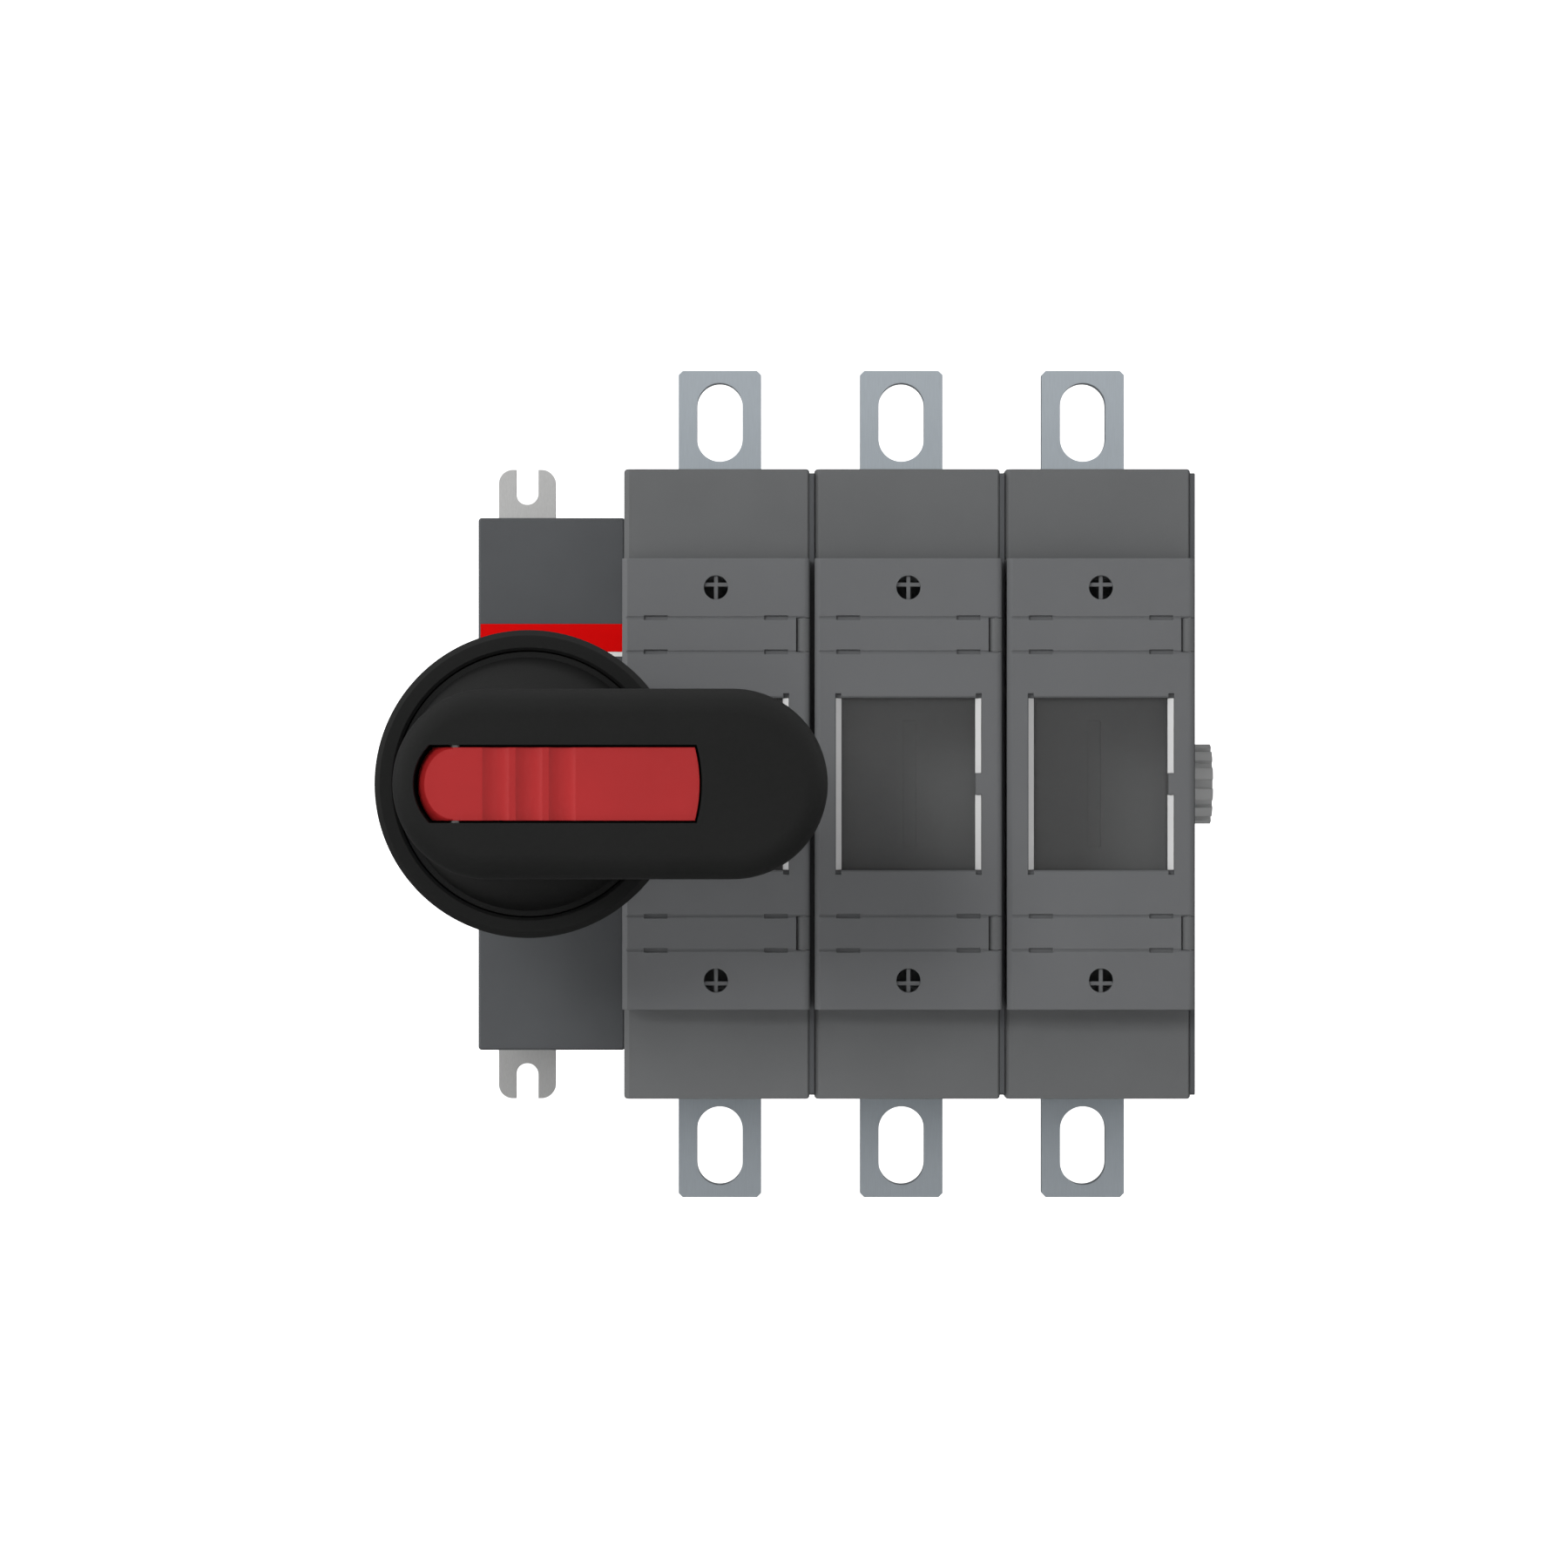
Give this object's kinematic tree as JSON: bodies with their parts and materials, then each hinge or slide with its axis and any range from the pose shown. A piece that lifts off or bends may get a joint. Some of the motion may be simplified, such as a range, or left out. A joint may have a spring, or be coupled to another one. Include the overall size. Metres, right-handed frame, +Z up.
{
  "type": "fuse switch disconnector",
  "caption": "Panel-mounted fuse switch disconnector with a front pistol handle, side-hinged fuse lids with windows, and flat slotted terminals above and below each pole.",
  "frame": {"origin": "midway between the two mounting slots, on the back mounting plane", "axes": "+Z up, +X right seen from the front, the front faces -Y and the mounting plane's outward normal is +Y"},
  "size_m": [0.1928, 0.194, 0.2004],
  "materials": {
    "grey_moulding": "fine matt grey moulding",
    "dark_moulding": "matt dark grey moulding",
    "black_plastic": "fine matt black moulding",
    "red_plastic": "satin red moulding",
    "clear_pane": "clear polycarbonate",
    "plated_copper": "tin or silver plated copper",
    "plated_steel": "zinc plated steel",
    "gear_steel": "plain machined steel",
    "spring_steel": "drawn spring wire",
    "brass": "turned brass"
  },
  "bodies": {
    "switch_frame": {"mechanism_case": "dark_moulding", "mechanism_cover": "dark_moulding", "mounting_foot_top": "plated_steel", "mounting_foot_bottom": "plated_steel", "front_bush": "brass", "snap_spring": "spring_steel", "tie_rods": "plated_steel", "tie_rod_nuts": "plated_steel", "pole_1_base": "grey_moulding", "pole_1_front": "grey_moulding", "pole_1_side_plate": "dark_moulding", "pole_1_hinge_pins": "plated_steel", "pole_1_upper_terminal": "plated_copper", "pole_1_lower_terminal": "plated_copper", "pole_1_upper_fuse_jaw": "plated_copper", "pole_1_lower_fuse_jaw": "plated_copper", "pole_1_arc_plates": "plated_steel", "pole_2_base": "grey_moulding", "pole_2_front": "grey_moulding", "pole_2_side_plate": "dark_moulding", "pole_2_hinge_pins": "plated_steel", "pole_2_upper_terminal": "plated_copper", "pole_2_lower_terminal": "plated_copper", "pole_2_upper_fuse_jaw": "plated_copper", "pole_2_lower_fuse_jaw": "plated_copper", "pole_2_arc_plates": "plated_steel", "pole_3_base": "grey_moulding", "pole_3_front": "grey_moulding", "pole_3_side_plate": "dark_moulding", "pole_3_hinge_pins": "plated_steel", "pole_3_upper_terminal": "plated_copper", "pole_3_lower_terminal": "plated_copper", "pole_3_upper_fuse_jaw": "plated_copper", "pole_3_lower_fuse_jaw": "plated_copper", "pole_3_arc_plates": "plated_steel"},
    "handle_train": {"operating_shaft": "plated_steel", "drive_gear": "gear_steel", "snap_crank": "plated_steel", "handle": "black_plastic", "collar_clip": "spring_steel", "shaft_set_screw": "plated_steel", "lever_pin": "plated_steel", "lever_spring": "spring_steel"},
    "door_collar": {"handle_collar": "black_plastic"},
    "red_lever": {"lock_lever": "red_plastic"},
    "contact_train": {"contact_gear": "gear_steel", "contact_shaft": "plated_steel", "shaft_end_cap": "dark_moulding", "pole_1_rotor": "dark_moulding", "pole_1_moving_contacts": "plated_copper", "pole_2_rotor": "dark_moulding", "pole_2_moving_contacts": "plated_copper", "pole_3_rotor": "dark_moulding", "pole_3_moving_contacts": "plated_copper"},
    "lid_1": {"pole_1_lid": "grey_moulding", "pole_1_window": "clear_pane"},
    "lid_2": {"pole_2_lid": "grey_moulding", "pole_2_window": "clear_pane"},
    "lid_3": {"pole_3_lid": "grey_moulding", "pole_3_window": "clear_pane"}
  },
  "joints": [
    {"name": "handle_turn", "type": "hinge", "parent": "switch_frame", "child": "handle_train", "pos_m": [0.0096, 0, 0], "axis": [0, 1, 0], "range_deg": [0, 90], "deforming": ["snap_spring"]},
    {"name": "contact_turn", "type": "hinge", "parent": "switch_frame", "child": "contact_train", "pos_m": [0.0096, -0.03, 0], "axis": [1, 0, 0], "range_deg": [0, 90]},
    {"name": "collar_turn", "type": "hinge", "parent": "handle_train", "child": "door_collar", "pos_m": [0.0096, -0.154, 0], "axis": [0, 1, 0], "range_deg": [-90, 0]},
    {"name": "lock_lever_hinge", "type": "hinge", "parent": "handle_train", "child": "red_lever", "pos_m": [-0.0044, -0.188, 0], "axis": [0, 0, -1], "range_deg": [0, 30], "stiffness_Nm_per_rad": 0.02, "deforming": ["lever_spring"]},
    {"name": "lid_1_hinge", "type": "hinge", "parent": "switch_frame", "child": "lid_1", "pos_m": [0.0691, -0.1045, 0], "axis": [0, 0, 1], "range_deg": [0, 90]},
    {"name": "lid_2_hinge", "type": "hinge", "parent": "switch_frame", "child": "lid_2", "pos_m": [0.1131, -0.1045, 0], "axis": [0, 0, 1], "range_deg": [0, 90]},
    {"name": "lid_3_hinge", "type": "hinge", "parent": "switch_frame", "child": "lid_3", "pos_m": [0.1571, -0.1045, 0], "axis": [0, 0, 1], "range_deg": [0, 90]}
  ],
  "couplings": [
    {"joint": "contact_turn", "follows": "handle_turn", "ratio": 1}
  ]
}
